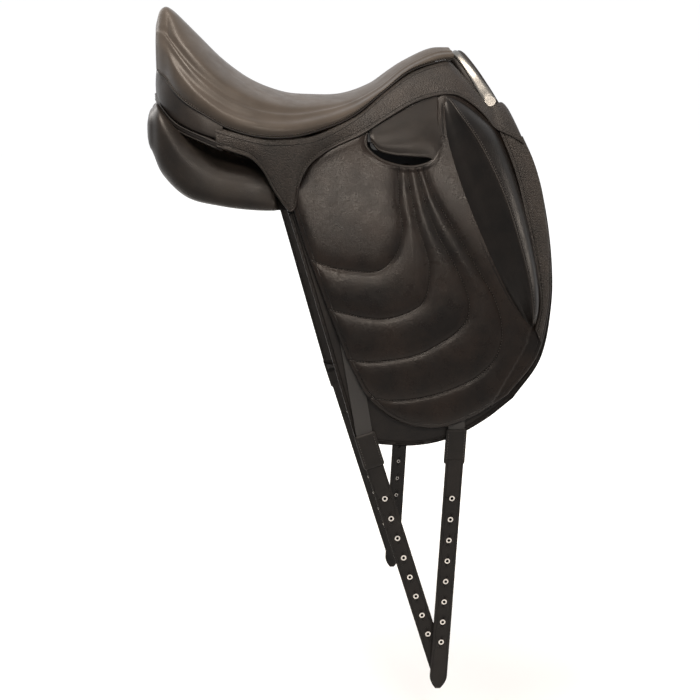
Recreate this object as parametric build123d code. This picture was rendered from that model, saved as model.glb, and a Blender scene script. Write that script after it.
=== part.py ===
"""A monoflap dressage saddle as an assembly of separate pieces, in millimetres.

+X points to the horse's head, +Y to its left side and +Z up.  The origin is where the saddle rests on
the back: on the middle plane, below the deepest point of the seat, level with the panels' bearing
surface.  Every side piece is drawn for the right side, at negative Y, and mirrored for the left.
"""
from build123d import *
import os
from math import atan2, cos, degrees, hypot, radians, sin, sqrt

# ---- driving dimensions -------------------------------------------------------------------------
SEAT_SIZE = 444.0          # from the pommel stud to the top of the cantle: a 17.5 inch seat
FLAP_LENGTH = 312.0        # from the origin's level down to the flap's lowest edge

GAP = 0.4                  # glue line between two layers of one body
MOVE_GAP = 0.6             # room between a moving piece and its neighbour

# The flaps lie on a drum with its axis along X.  Its right-hand arc has its centre at (DRUM_Y, DRUM_Z).
DRUM_R = 1000.0            # radius of the flap's outer face
FLAP_HALF_SPAN = 204.0     # half the distance between the flaps' outer faces, where they hang plumb
DRUM_Y = DRUM_R - FLAP_HALF_SPAN
DRUM_Z = -351.0

FLAP_T = 4.0               # padded outer flap
WEB_ROOM = 4.0             # space between sweat flap and flap, which the girth webbing runs in
LINING_T = 4.0             # sweat flap
WEB_T = 2.4                # girth webbing
SKIRT_T = 2.4              # grained skirt leather
SKIRT_LAP = 6.0            # height over which the skirt lies flat on the flap
SKIRT_LIFT = 0.9           # skirt over the flap, which it crosses in straight runs
COVER_T = 3.0              # seat leather
SEAT_DROP = 10.0           # padding reaches this far below the seat's seam, round the tree's edge
CANTLE_T = 3.0             # leather round the back of the tree
TREE_T = 7.0               # laminated tree
WELT = 3.0                 # piping in the seam between seat and skirt

POINT_T = 6.0              # tree points
HEAD_T = 4.0               # steel head plate inside the points
PANEL_ROUND = 0.42         # corner radius of a panel's section, as a share of its depth
PANEL_CLEAR = 1.0          # room that the panels leave to the pieces they lie against
BRIDGE_T = 2.0             # leather that joins the two panels over the channel

STRAP_W = 23.0             # girth strap
STRAP_T = 3.2
STRAP_STEP = 4.6           # sideways distance between the front strap and the rear one that it crosses
HOLE_R = 2.0
HOLE_PITCH = 29.0
HOLE_COUNT = 8
FIRST_HOLE = 44.0          # first hole's distance below the strap's pivot
LAST_HOLE_TO_TIP = 68.0
EYELET_WALL = 0.5
EYELET_RIM = 3.6           # radius of the eyelet's rim
EYELET_RIM_T = 0.5
EYELET_FIT = 0.02
SLEEVE_LEAF = 2.0          # each leaf of the sleeve
SLEEVE_ROOM = 0.7          # between a leaf and the webbing's straight middle plane
SLEEVE_LAP = 2.0           # sleeve stands this much wider than the strap, each side
SLEEVE_LEN = 46.0
WEB_IN_SLEEVE = 30.0       # length of webbing sewn into the sleeve

BAR_T = 8.0                # stirrup bar's thickness across the saddle
BAR_H = 11.0
BAR_LEN = 62.0
BAR_ROOT = 128.0           # X where the bar joins its arm
BAR_ARM = 12.0             # length of the arm along X
BAR_Z = 47.0
BAR_ROOM = 13.0            # clear gap between base plate and bar, for the stirrup leather
BAR_PLATE_Y = 84.0         # outer face of the base plate
BAR_PLATE_T = 3.0
BAR_PLATE_H = 36.0
BAR_PLATE_LAP = 10.0       # base plate reaches this far behind the bar's open end
RIVET_R = 2.5
RIVET_HEAD_R = 5.0
RIVET_HEAD_T = 1.5
RIVET_FIT = 0.05
CATCH_LEN = 16.0
CATCH_T = 3.0
PIN_R = 1.6
PIN_FIT = 0.05

ARCH_T = 7.0               # padded facing of the pommel arch
ARCH_W = 22.0
PLATE_T = 1.6              # bright trim plate on it
PLATE_W = 16.0
STUD_R = 8.0
STUD_H = 3.0
STUD_SHANK_R = 2.0
STUD_SHANK = 6.0

STRIP_T = 9.0              # rear facing strip, across
STRIP_H = 11.0


def along(x):
    """A place along the saddle, which moves with the seat's size."""
    return x * SEAT_SIZE / 444.0


def down(z):
    """A height: below the origin's level it moves with the flap's length."""
    return z * FLAP_LENGTH / 312.0 if z < 0 else z


def stations(rows):
    return [(along(row[0]), *row[1:]) for row in rows]


def side(points):
    return [(along(x), down(z)) for x, z in points]


# Seat: X, ridge half-width, ridge height, crown height, seam half-width, seam height.
SEAT = stations([
    (-211, 32, 186, 199, 46, 132),
    (-203, 58, 178, 208, 70, 121),
    (-190, 84, 152, 198, 94, 105),
    (-160, 119, 109, 164, 125, 82),
    (-125, 134, 84, 132, 142, 63),
    (-90, 139, 74, 112, 148, 54),
    (-50, 132, 71, 99, 144, 53),
    (-10, 114, 76, 95, 127, 61),
    (30, 90, 87, 97, 104, 75),
    (70, 64, 107, 112, 78, 102),
    (110, 48, 134, 138, 61, 129),
    (150, 41, 151, 156, 51, 141),
    (167, 38, 153, 158, 47, 144),
])
# Tree: X, half-width, crown height, edge height, all on its upper face.
TREE = stations([
    (-198, 52, 183, 136),
    (-185, 76, 170, 118),
    (-160, 106, 141, 90),
    (-125, 124, 106, 69),
    (-90, 130, 84, 60),
    (-50, 126, 71, 58),
    (-10, 110, 66, 62),
    (30, 88, 72, 70),
    (70, 64, 90, 92),
    (110, 48, 118, 119),
    (150, 40, 137, 132),
    (164, 37, 140, 134),
])
# Skirt: X, upper half-width and height, lower half-width (0: it lies on the flap) and height.
SKIRT = stations([
    (-142, 138, 63, 151, 41),
    (-120, 145, 57, 153, 35),
    (-100, 148, 52, 154, 27),
    (-86, 149, 49, 155, 14),
    (-70, 148, 48, 156, -14),
    (-50, 145, 48, 0, -38),
    (-43, 143, 49, 0, -4),
    (-30, 139, 50, 0, 17),
    (0, 125, 58, 0, 36),
    (40, 100, 76, 0, 53),
    (75, 78, 101, 0, 73),
    (110, 64, 124, 0, 91),
    (144, 55, 136, 0, 101),
    (163, 53, 138, 0, 99),
    (181, 64, 121, 0, 90),
    (199, 74, 99, 0, 74),
    (213, 82, 83, 0, 57),
])
# Knee block: height, rear edge X, crest X, front edge X, crest height over the flap.
BLOCK = [
    (94, 149, 156, 166, 4),
    (76, 143, 164, 190, 20),
    (50, 143, 180, 210, 27),
    (18, 151, 196, 225, 30),
    (-25, 166, 214, 237, 31),
    (-70, 185, 225, 247, 31),
    (-115, 206, 236, 255, 30),
    (-150, 223, 243, 258, 27),
    (-172, 235, 243, 256, 18),
    (-184, 241, 246, 252, 5),
]
# Panel: X, centre half-width and height, width, depth, tilt in degrees.
PANEL = stations([
    (-222, 78, 60, 66, 46, 10),
    (-208, 82, 46, 100, 86, 8),
    (-180, 88, 20, 122, 84, 12),
    (-140, 91, 3, 130, 72, 14),
    (-90, 92, -5, 132, 68, 15),
    (-40, 86, -2, 120, 58, 22),
    (10, 82, 4, 104, 48, 28),
    (60, 84, 6, 92, 44, 40),
    (110, 90, 4, 92, 38, 56),
    (160, 104, -8, 104, 32, 66),
    (205, 118, -26, 100, 28, 70),
    (232, 124, -34, 78, 22, 70),
])
# Leather round the back of the cantle: its upper edge (X, half-width, height), its lower edge, and
# the sideways share of its outward direction.
CANTLE = [
    ((-215, 0, 131), (-221, 0, 108), 0.0),
    ((-213, 46, 127), (-216, 52, 103), 0.3),
    ((-205, 70, 117), (-209, 82, 94), 0.6),
    ((-191, 95, 101), (-192, 111, 74), 0.8),
    ((-160, 126, 78), (-160, 140, 58), 0.95),
    ((-145, 136, 68), (-145, 147, 52), 0.98),
]
# Rear facing strip: plan half-width and upper edge height at each X.
STRIP = stations([(-222, 0, 106), (-218, 46, 103), (-210, 80, 92), (-193, 110, 72), (-160, 139, 56),
                  (-141, 148, 48)])

# Outlines in side view, as curves of (X, height) that follow each other round.
FLAP = [
    side([(-56, -12), (-39, -73), (-10, -158), (12, -219)]),
    side([(12, -219), (39, -270), (79, -302), (128, -312), (175, -298), (218, -272)]),
    side([(218, -272), (256, -224), (273, -160), (276, -110), (271, -45), (253, 14), (216, 60)]),
    side([(216, 60), (199, 77), (181, 93), (163, 103), (144, 105), (110, 95), (75, 77), (40, 57),
          (0, 40), (-30, 21), (-43, 0), (-56, -12)]),
]
SWEAT_FLAP = [
    side([(-68, -20), (-39, -122), (20, -326)]),
    side([(20, -326), (55, -332), (100, -335), (145, -327), (190, -304), (226, -277)]),
    side([(226, -277), (262, -228), (278, -160), (281, -110), (276, -45), (258, 14), (222, 58)]),
    side([(222, 58), (190, 76), (152, 82)]),
    side([(152, 82), (146, 6)]),
    side([(146, 6), (40, 4)]),
    side([(40, 4), (38, 34)]),
    side([(38, 34), (0, 28), (-68, -20)]),
]
BAND = [
    side([(217, 50), (236, 0), (247, -60), (258, -120), (262, -160), (254, -184)]),
    side([(254, -184), (267, -196)]),
    side([(267, -196), (271, -160), (273, -110), (268, -45), (252, 14), (223, 55)]),
    side([(223, 55), (217, 50)]),
]
# The lip over the stirrup bar hangs in the upper part of the flap's slot, from a straight seam.
LIP_SEAM = side([(48, 55), (140, 98)])
SLOT = [
    LIP_SEAM,
    side([(140, 98), (141, 29)]),
    side([(141, 29), (128, 18), (100, 14), (79, 17), (57, 26), (45, 40), (48, 55)]),
]
SWEAT_LOW = -335           # lowest edge of the sweat flap
LIP_EDGE = side([(138, 32), (125, 28), (90, 29), (64, 33), (52, 45)])
# Arch of the pommel, in its own sloping plane: half-width and distance down the slope.
ARCH = [(0, 0), (20, 5), (38, 20), (50, 36), (60, 52), (68, 66), (76, 86)]
ARCH_TOP = (along(174), 156.0)
ARCH_SLOPE = 60.6          # degrees below the horizontal, towards the front
STUD_AT = 78.0             # stud's distance down the slope
STUD_SEAT = 0.8            # stud's head over the plate's outer line, which curves under it
FACING_REAR = -8.0         # facing's rear edge, from the sloping plane
PLATE_MIDDLE = 2.0         # plate's middle, from the sloping plane

# Webbing and strap lines in side view: top end, sleeve's top, and the strap's slope towards the front.
REAR_LINE = side([(-20, 20), (34, -318)])
FRONT_LINE = side([(150, 0), (153, -316)])
REAR_SLOPE = 17.0
FRONT_SLOPE = -3.0


# ---- shared geometry ----------------------------------------------------------------------------
def drum_y(z, off=0.0):
    """Half-width at a height of the flap's outer face, or of a face that lies off outside it."""
    return -DRUM_Y + sqrt((DRUM_R + off) ** 2 - (z - DRUM_Z) ** 2)


def between(rows, x, column):
    """A station table's value at any X, on straight lines between stations."""
    low = rows[0]
    for high in rows[1:]:
        if x <= high[0]:
            share = max(0.0, (x - low[0]) / (high[0] - low[0]))
            return low[column] + share * (high[column] - low[column])
        low = high
    return low[column]


def drum_wall(inner, outer):
    """The right-hand wall between two offsets from the flap's outer face, along the whole saddle."""
    ring = Circle(DRUM_R + outer) - Circle(DRUM_R + inner)
    length = 2 * SEAT_SIZE
    wall = extrude(Plane.YZ.offset(-length / 2) * Pos(DRUM_Y, DRUM_Z) * ring, length)
    return wall & Pos(0, -150, -100) * Box(length, 300, 900)


def curve(points):
    return Line(*points) if len(points) == 2 else Spline(*points)


def outline(curves):
    """A closed side-view face: two points make a line and more a smooth curve."""
    return make_face(Wire([curve(points) for points in curves]))


def prism(curves):
    """What lies behind a side-view outline on the right-hand side."""
    return extrude(Plane.XZ * outline(curves), 300)


def side_sheet(curves, inner, outer):
    """A leather sheet: the part of a drum wall that a side-view outline covers."""
    return prism(curves) & drum_wall(inner, outer)


def ribbon(x, points):
    """A closed polygon of (half-width, height) on the right-hand side at one X."""
    return make_face(Polyline(*[(x, -w, z) for w, z in points], close=True))


def half_arch(x, points, crown):
    """Edges from the right foot over the crown to the left foot, for an arch at one X."""
    w, z = points[-1]
    right = [Line((x, -a[0], a[1]), (x, -b[0], b[1])) for a, b in zip(points, points[1:])]
    left = [Line((x, a[0], a[1]), (x, b[0], b[1])) for a, b in zip(points, points[1:])]
    return right + [ThreePointArc((x, -w, z), (x, 0, crown), (x, w, z))] + left


def arch(x, outer, outer_crown, inner, inner_crown):
    """A face between two arches that share their end lines."""
    edges = half_arch(x, outer, outer_crown) + half_arch(x, inner, inner_crown)
    for s in (-1, 1):
        edges.append(Line((x, s * outer[0][0], outer[0][1]), (x, s * inner[0][0], inner[0][1])))
    return make_face(Wire(edges))


def mirrored(shape):
    return mirror(shape, about=Plane.XZ)


def block(x0, x1, y0, y1, z0, z1):
    """A box between three pairs of limits."""
    middle = Pos((x0 + x1) / 2, (y0 + y1) / 2, (z0 + z1) / 2)
    return middle * Box(abs(x1 - x0), abs(y1 - y0), abs(z1 - z0))


# ---- tree, head and points ----------------------------------------------------------------------
def tree_face(x, lift=0.0):
    w, crown, edge = (between(TREE, x, column) for column in (1, 2, 3))
    return arch(x, [(w, edge + lift)], crown + lift, [(w, edge - TREE_T)], crown - TREE_T)


def make_tree():
    return loft([tree_face(row[0]) for row in TREE], ruled=True)


def above_tree(clear):
    """Everything above the tree's lower face, for cutting the pieces that lie under it."""
    faces = []
    for x, w, crown, edge in TREE:
        low = edge - TREE_T - clear
        roof = [(x, -w, low), (x, -250, low), (x, -250, 400), (x, 250, 400), (x, 250, low), (x, w, low)]
        arc = ThreePointArc((x, -w, low), (x, 0, crown - TREE_T - clear), (x, w, low))
        faces.append(make_face(Wire([arc] + [Line(a, b) for a, b in zip(roof, roof[1:])])))
    return loft(faces, ruled=True)


POINT_OUT = BAR_PLATE_Y - BAR_PLATE_T - GAP
POINT_REAR = along(50)
POINT_FRONT = TREE[-1][0] - 2
POINT_FOOT = 8.0
POINT_KNEE = 78.0
POINT_TOP = (40.0, 128.0)


def point_section(out, knee, top, thick):
    """A wall that stands plumb up to its knee and then leans in to the top of the arch."""
    w, z = top
    return [(out, POINT_FOOT), (out, knee), (w, z), (w - thick, z), (out - thick, knee - 2),
            (out - thick, POINT_FOOT)]


def make_point():
    wall = ribbon(POINT_REAR, point_section(POINT_OUT, POINT_KNEE, POINT_TOP, POINT_T))
    wall = extrude(wall, POINT_FRONT - POINT_REAR, dir=(1, 0, 0))
    wall -= above_tree(GAP)
    for x in rivet_places():
        wall -= rivet_hole(x)
    return wall


def make_head():
    """The steel head plate: an arch that stands inside both points."""
    out = POINT_OUT - POINT_T - GAP
    top = (POINT_TOP[0] - POINT_T - GAP, POINT_TOP[1] - 8)
    x = along(132)
    legs = [(out, 22), (out, POINT_KNEE - 2), top]
    inner = [(out - HEAD_T, 22), (out - HEAD_T, POINT_KNEE - 4), (top[0] - HEAD_T, top[1] - HEAD_T)]
    face = arch(x, legs, top[1] + 4, inner, top[1] + 4 - HEAD_T)
    return extrude(face, POINT_FRONT - x, dir=(1, 0, 0)) - above_tree(GAP)


# ---- seat ---------------------------------------------------------------------------------------
def seat_profile(row, inset):
    x, w, ridge, crown, seam_w, seam = row
    return [(seam_w - inset, seam), (w - inset, ridge - inset)], crown - inset


def make_seat_leather():
    faces = []
    for row in SEAT:
        faces.append(arch(row[0], *seat_profile(row, 0), *seat_profile(row, COVER_T)))
    rear = seat_block(SEAT[0], 0, 0)
    return loft(faces, ruled=True) + extrude(rear, COVER_T, dir=(-1, 0, 0))


def seat_block(row, inset, drop):
    """The seat's whole section, closed below its seam."""
    x = row[0]
    points, crown = seat_profile(row, inset)
    w, z = points[0]
    points = [(w - drop, z - drop)] + points if drop else points
    edges = half_arch(x, points, crown)
    (w, z) = points[0]
    return make_face(Wire(edges + [Line((x, -w, z), (x, w, z))]))


def make_foam():
    """Padding over the tree and round its edges."""
    body = loft([seat_block(row, COVER_T + GAP, SEAT_DROP) for row in SEAT], ruled=True)
    faces = []
    for x, w, crown, edge in TREE:
        sides = [(w + GAP, -50), (w + GAP, edge + GAP)]
        face = Wire(half_arch(x, sides, crown + GAP) + [Line((x, -w - GAP, -50), (x, w + GAP, -50))])
        faces.append(make_face(face))
    return body - loft(faces, ruled=True)


def make_cantle_back():
    """Leather round the back of the tree, from the seat's seam down to the facing strip."""
    faces = []
    for s in (-1, 1):
        for top, low, share in CANTLE[::-1] if s < 0 else CANTLE[1:]:
            step = Vector(-sqrt(1 - share ** 2), s * share, 0) * CANTLE_T
            a, b = (Vector(along(x), s * w, z) for x, w, z in (top, low))
            faces.append(make_face(Polyline(a, b, b + step, a + step, close=True)))
    return loft(faces, ruled=True)


def make_welt():
    """Piping in the seam under the seat's edge."""
    faces = []
    for row in SEAT:
        w, z = row[4] - 1.5, row[5] - GAP
        faces.append(ribbon(row[0], [(w, z), (w + WELT, z), (w + WELT, z - WELT), (w, z - WELT)]))
    return loft(faces, ruled=True)


# ---- skirt, flap and sweat flap -----------------------------------------------------------------
def skirt_section(row):
    x, top_w, top, low_w, low = row
    if low_w:
        bend_w, bend = low_w, low + SKIRT_LAP
    else:
        low = down(low)
        low_w = drum_y(low, SKIRT_LIFT)
        bend = low + SKIRT_LAP
        bend_w = drum_y(bend, SKIRT_LIFT)
    t = SKIRT_T
    inner = [(top_w, top), (bend_w, bend), (low_w, low)]
    return ribbon(x, inner + [(w + t, z) for w, z in inner[::-1]])


def make_skirt():
    """A lofted skirt, nicked where a stud's head would come too near its front end."""
    body = loft([skirt_section(row) for row in SKIRT], ruled=True)
    return body - stud_location() * Cylinder(STUD_R + GAP, 6 * STUD_H)


def make_flap():
    return side_sheet(FLAP, -FLAP_T, 0) - prism(SLOT)


def make_sweat_flap():
    inner = -FLAP_T - WEB_ROOM - LINING_T
    return side_sheet(SWEAT_FLAP, inner, inner + LINING_T)


def make_band():
    return side_sheet(BAND, GAP, GAP + SKIRT_T)


def make_lip():
    """The leather lip over the stirrup bar, under its straight seam."""
    (x0, z0), (x1, z1) = LIP_SEAM
    lower = MOVE_GAP * 2
    top = [(x0 + 2, z0 - lower), (x1 - 2, z1 - lower)]
    curves = [top, [top[1], LIP_EDGE[0]], LIP_EDGE, [LIP_EDGE[-1], top[0]]]
    return side_sheet(curves, -FLAP_T + GAP, 0)


def block_face(row):
    z, rear, crest, front, height = row
    z = down(z)
    rear, crest, front = along(rear), along(crest), along(front)
    base = -drum_y(z, GAP)
    top = base - height
    land = 3.0 if height > 10 else 1.0
    back = ThreePointArc((rear, base, z), ((rear + crest) / 2 + height * 0.12, base - height * 0.42, z),
                         (crest - land, top, z))
    nose = ThreePointArc((crest + land, top, z), ((crest + front) / 2 + height * 0.12,
                         base - height * 0.62, z), (front, base, z))
    ridge = Line((crest - land, top, z), (crest + land, top, z))
    foot = Line((front, base, z), (rear, base, z))
    return make_face(Wire([back, ridge, nose, foot]))


def make_knee_block():
    return loft([block_face(row) for row in BLOCK], ruled=True)


def make_knee_piping():
    """Piping along the block's crest."""
    faces = []
    for z, rear, crest, front, height in BLOCK[1:-1]:
        z, x = down(z), along(crest)
        y = -drum_y(z, GAP) - height - GAP
        faces.append(Plane.XY.offset(z) * Pos(x, y - 1.3) * Rectangle(2.6, 2.6))
    return loft(faces, ruled=True)


# ---- panels -------------------------------------------------------------------------------------
def panel_face(row):
    x, w, z, width, depth, tilt = row
    plane = Plane(origin=(x, -w, z), x_dir=(0, -cos(radians(tilt)), -sin(radians(tilt))), z_dir=(1, 0, 0))
    return plane * RectangleRounded(width, depth, depth * PANEL_ROUND)


def strip_floor():
    """Side-view prism above the facing strip's lower edge, for cutting the panels' rear."""
    low = [(x, z - STRIP_H - GAP) for x, w, z in STRIP]
    points = [(low[0][0] - 60, low[0][1])] + low + [(low[-1][0], 400), (low[0][0] - 60, 400)]
    return extrude(Plane.XZ * make_face(Polyline(*points, close=True)), 200, both=True)


def make_panel():
    body = loft([panel_face(row) for row in PANEL], ruled=True)
    inside = -FLAP_T - WEB_ROOM - LINING_T - PANEL_CLEAR
    body -= drum_wall(inside, 60)
    body -= above_tree(PANEL_CLEAR)
    body -= strip_floor()
    body -= block(POINT_REAR - 12, POINT_FRONT + 3, -POINT_OUT - 45, POINT_T + GAP + HEAD_T - POINT_OUT
                  + PANEL_CLEAR, POINT_FOOT - PANEL_CLEAR, 200)
    return body


def panel_crest(row):
    """Half-width and height of the highest point of a panel's section."""
    x, w, z, width, depth, tilt = row
    c, s = cos(radians(tilt)), sin(radians(tilt))
    reach = width / 2 - depth * PANEL_ROUND
    lift = depth / 2 - depth * PANEL_ROUND
    return w - reach * c + lift * s, z + reach * s + lift * c + depth * PANEL_ROUND


def make_bridge():
    """Leather over the channel that joins the two panels' inner edges."""
    faces = []
    for row in PANEL[4:8]:
        x = row[0]
        w, z = panel_crest(row)
        z += GAP + 0.4
        faces.append(arch(x, [(w, z + BRIDGE_T)], z + BRIDGE_T + 6, [(w, z)], z + 6))
    return loft(faces, ruled=True)


def make_strip():
    """The piped facing strip round the back, under the cantle."""
    right = [(x, -w) for x, w, z in STRIP]
    left = [(x, w) for x, w, z in STRIP[1:]]
    line = right[::-1] + left
    plan = Spline(*line)
    hull = make_face(Wire([plan, Line(line[-1], line[0])]))
    inner = [(x + STRIP_T, y * (1 - STRIP_T / 150)) for x, y in line]
    core = make_face(Wire([Spline(*inner), Line(inner[-1], inner[0])]))
    ring = extrude(hull - core, 300)
    top = [(x, z) for x, w, z in STRIP]
    low = [(x, z - STRIP_H) for x, z in top[::-1]]
    far = STRIP[0][0] - 10
    band = Polyline(*([(far, top[0][1])] + top + low + [(far, low[-1][1])]), close=True)
    return ring & extrude(Plane.XZ * make_face(band), 200, both=True)


# ---- pommel -------------------------------------------------------------------------------------
def arch_plane():
    """The pommel arch's plane: local X to the right side, local Y down the slope, normal forward."""
    slope = radians(ARCH_SLOPE)
    return Plane(origin=(ARCH_TOP[0], 0, ARCH_TOP[1]), x_dir=(0, -1, 0), z_dir=(sin(slope), 0, cos(slope)))


def arch_line(off):
    """The arch's outer line, from the left foot over the top to the right, moved outward by off."""
    full = [(-w, s) for w, s in ARCH[:0:-1]] + ARCH
    moved = []
    for i, (w, s) in enumerate(full):
        w0, s0 = full[max(i - 1, 0)]
        w1, s1 = full[min(i + 1, len(full) - 1)]
        size = hypot(w1 - w0, s1 - s0)
        moved.append((w + off * (s1 - s0) / size, s - off * (w1 - w0) / size))
    return moved


def arch_body(inner, outer, rear, front):
    """A bow along the arch, between two offsets from its outer line and along the plane's normal."""
    a, b = arch_line(outer), arch_line(inner)[::-1]
    face = make_face(Wire([Spline(*a), Line(a[-1], b[0]), Spline(*b), Line(b[-1], a[0])]))
    return extrude(arch_plane().offset(rear) * face, front - rear)


def stud_location():
    """Where a stud stands on the right-hand end of the plate, its Z axis outward."""
    line = arch_line(PLATE_T + GAP)
    (w0, s0), (w1, s1) = line[-2], line[-1]
    share = (STUD_AT - s0) / (s1 - s0)
    w = w0 + share * (w1 - w0)
    plane = arch_plane()
    place = plane.origin + plane.x_dir * w + plane.y_dir * STUD_AT + plane.z_dir * PLATE_MIDDLE
    size = hypot(w1 - w0, s1 - s0)
    normal = plane.x_dir * ((s1 - s0) / size) - plane.y_dir * ((w1 - w0) / size)
    return Plane(origin=place, z_dir=normal)


def make_stud():
    plane = stud_location()
    head = Cylinder(STUD_R, STUD_H)
    head = fillet(head.edges().sort_by(Axis.Z)[-1], 1.2)
    head = plane * Pos(0, 0, STUD_H / 2 + STUD_SEAT) * head
    shank = plane * Pos(0, 0, STUD_SEAT - STUD_SHANK / 2) * Cylinder(STUD_SHANK_R, STUD_SHANK)
    return head + shank


def stud_hole():
    return stud_location() * Cylinder(STUD_SHANK_R + 0.1, 3 * STUD_SHANK)


def make_facing():
    body = arch_body(-ARCH_T, 0, FACING_REAR, FACING_REAR + ARCH_W)
    return body - stud_hole() - mirrored(stud_hole())


def make_plate():
    rear = PLATE_MIDDLE - PLATE_W / 2
    body = arch_body(GAP, GAP + PLATE_T, rear, rear + PLATE_W)
    return body - stud_hole() - mirrored(stud_hole())


# ---- stirrup bar --------------------------------------------------------------------------------
BAR_X1 = along(BAR_ROOT)
BAR_X0 = BAR_X1 - BAR_LEN
BAR_IN = BAR_PLATE_Y + BAR_ROOM
BAR_OUT = BAR_IN + BAR_T
TONGUE_T = BAR_T - 2 * CATCH_T
NECK_TOP = 2.0             # tongue's neck above the pin, low enough for the catch to turn up over it


def rivet_places():
    return [BAR_X0 - 2, (BAR_X0 + BAR_X1) / 2 - 4, BAR_X1 - RIVET_HEAD_R - 3]


def rivet_hole(x):
    turn = Location((x, -POINT_OUT, BAR_Z), (90, 0, 0))
    return turn * Cylinder(RIVET_R + RIVET_FIT, 60)


def make_bar():
    """Base plate, arm and bar in one forging, with a tongue for the catch at the open end."""
    half = BAR_PLATE_H / 2
    plate = block(BAR_X0 - BAR_PLATE_LAP, BAR_X1 + BAR_ARM, -BAR_PLATE_Y, BAR_PLATE_T - BAR_PLATE_Y,
                  BAR_Z - half, BAR_Z + half)
    plate = fillet(plate.edges().filter_by(Axis.Y), 8)
    bar = block(BAR_X0, BAR_X1 + BAR_ARM, -BAR_OUT, -BAR_IN, BAR_Z - BAR_H / 2, BAR_Z + BAR_H / 2)
    bar = fillet(bar.edges().filter_by(Axis.X), 3)
    arm = block(BAR_X1, BAR_X1 + BAR_ARM, -BAR_IN - 1, -BAR_PLATE_Y + 1, BAR_Z - BAR_H / 2,
                BAR_Z + BAR_H / 2)
    lobe = Location((BAR_X0, -(BAR_IN + BAR_OUT) / 2, BAR_Z), (90, 0, 0))
    reach = BAR_H / 2
    body = plate + bar + arm
    for y in (-BAR_OUT, -BAR_IN):
        body -= Pos(0, y, 0) * block(BAR_X0 - 1, BAR_X0 + reach + MOVE_GAP, -CATCH_T, CATCH_T,
                                     BAR_Z - BAR_H, BAR_Z + BAR_H)
    body -= block(BAR_X0 - 1, BAR_X0 + reach + MOVE_GAP, -BAR_OUT, -BAR_IN, BAR_Z + NECK_TOP,
                  BAR_Z + BAR_H)
    body += lobe * Cylinder(reach, TONGUE_T)
    body -= lobe * Cylinder(PIN_R + PIN_FIT, 40)
    for x in rivet_places():
        body -= rivet_hole(x)
    return body


def make_catch():
    """A fork that turns on the bar's open end."""
    reach = BAR_H / 2
    place = Location((BAR_X0, -(BAR_IN + BAR_OUT) / 2, BAR_Z), (90, 0, 0))
    lobe = place * Cylinder(reach, BAR_T)
    arm = block(BAR_X0 - CATCH_LEN, BAR_X0, -BAR_OUT, -BAR_IN, BAR_Z - reach, BAR_Z + reach)
    room = place * Cylinder(reach + MOVE_GAP, TONGUE_T + 0.6)
    return lobe + arm - room - place * Cylinder(PIN_R + PIN_FIT, 40)


def make_pin():
    place = Location((BAR_X0, -(BAR_IN + BAR_OUT) / 2, BAR_Z), (90, 0, 0))
    return place * Cylinder(PIN_R, BAR_T + 2)


def make_rivets():
    """Three rivets through base plate and tree point, one solid each."""
    inner = POINT_OUT - POINT_T
    solids = []
    for x in rivet_places():
        place = Location((x, 0, BAR_Z), (90, 0, 0))
        stand = (GAP + RIVET_HEAD_T) / 2
        rivet = place * Pos(0, 0, (BAR_PLATE_Y + inner) / 2)
        rivet = rivet * Cylinder(RIVET_R, BAR_PLATE_Y - inner + 2 * GAP)
        for y in (BAR_PLATE_Y + stand, inner - stand):
            rivet += place * Pos(0, 0, y) * Cylinder(RIVET_HEAD_R, RIVET_HEAD_T)
        solids.append(rivet)
    return Compound(children=solids)


# ---- girth webbing, sleeves and straps ----------------------------------------------------------
WEB_OFF = -FLAP_T - WEB_ROOM / 2
WEB_PLANE = drum_y(FRONT_LINE[-1][1] - WEB_IN_SLEEVE / 2, WEB_OFF)
HEAD_GAP = 0.8             # between a sleeve's end and the rounded head of its strap


def strap_frame(line, slope, step):
    """The strap's plane at its pivot: X along its width, Y down the strap, Z outward to the right."""
    (x, z) = line[-1]
    lean = radians(slope)
    run = SLEEVE_LEN + HEAD_GAP + STRAP_T / 2
    pivot = (x + run * sin(lean), -WEB_PLANE - step, z - run * cos(lean))
    return Plane(origin=pivot, x_dir=(cos(lean), 0, sin(lean)), z_dir=(0, -1, 0))


def hung(line, slope, step, across, top, end, inner, outer):
    """A strip in a strap's frame: half-width, distances down it, and distances outward."""
    plane = strap_frame(line, slope, step)
    strip = Pos(0, -(top + end) / 2, (inner + outer) / 2) * Box(2 * across, end - top, outer - inner)
    return plane * strip


def make_webbing(line, slope):
    """Webbing that follows the drum from under the seat into the sleeve."""
    (x0, z0), (x1, z1) = line
    lean = atan2(x1 - x0, z0 - z1)
    across = (STRAP_W / 2 - 1) / cos(lean)
    lean_low = radians(slope)
    x2 = x1 + WEB_IN_SLEEVE * sin(lean_low)
    z2 = z1 - WEB_IN_SLEEVE * cos(lean_low)
    left = [(x0 - across, z0), (x1 - across, z1), (x2 - across, z2)]
    right = [(x2 + across, z2), (x1 + across, z1), (x0 + across, z0)]
    face = make_face(Polyline(*(left + right), close=True))
    return extrude(Plane.XZ * face, 300) & drum_wall(WEB_OFF - WEB_T / 2, WEB_OFF + WEB_T / 2)


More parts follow.
